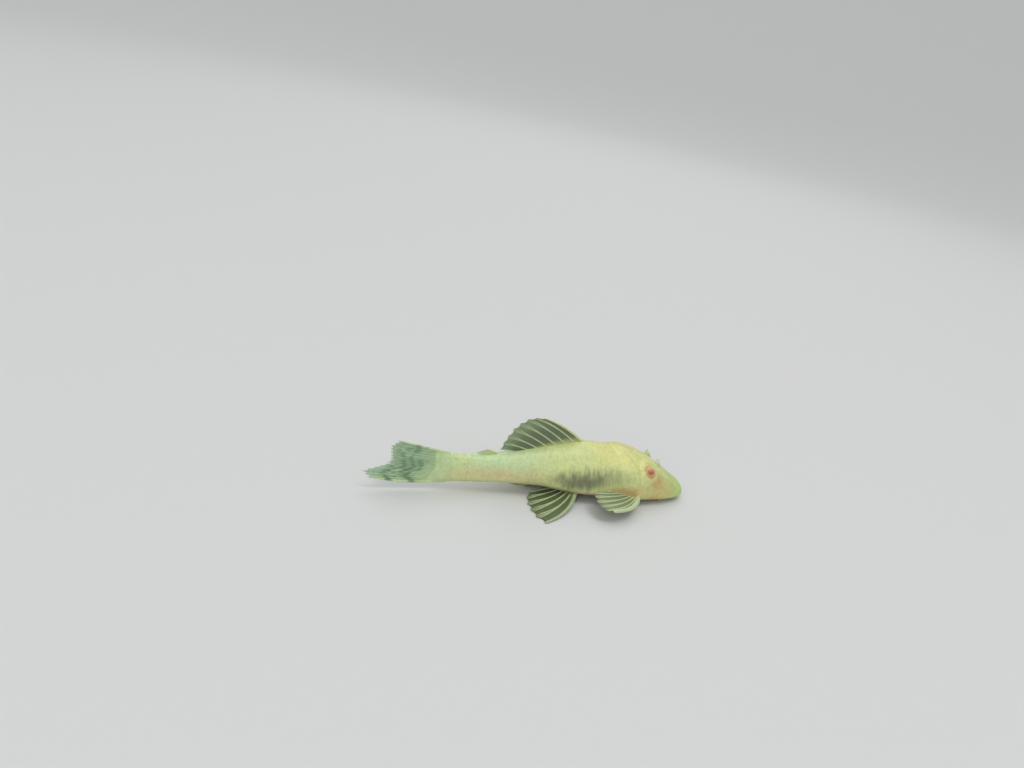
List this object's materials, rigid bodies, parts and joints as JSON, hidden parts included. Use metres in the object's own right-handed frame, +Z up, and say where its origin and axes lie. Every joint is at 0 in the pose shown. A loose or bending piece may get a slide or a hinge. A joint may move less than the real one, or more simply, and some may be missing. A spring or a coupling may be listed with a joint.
{
  "type": "bristlenose pleco",
  "caption": "Life-size still model of a pale yellow armoured sucker-mouth catfish resting on its mouth and its spread fins.",
  "frame": {"origin": "on the floor, at the middle of the model's length and breadth", "axes": "+X towards the snout, +Y to the fish's left, +Z up"},
  "size_m": [0.089, 0.0372, 0.02],
  "materials": {
    "skin": "moist, satin, finely rough with tiny spines",
    "fin": "thin, half clear web between cream rays, satin",
    "lip": "soft, moist, covered with small warts",
    "eye": "wet, glossy"
  },
  "bodies": {
    "root": {"head": "skin", "trunk": "skin", "tail": "skin", "dorsal_fin": "fin", "adipose_fin": "fin", "anal_fin": "fin", "caudal_fin": "fin", "pectoral_fin_l": "fin", "pectoral_fin_r": "fin", "pelvic_fin_l": "fin", "pelvic_fin_r": "fin", "mouth": "lip", "eye_l": "eye", "eye_r": "eye"}
  },
  "joints": []
}
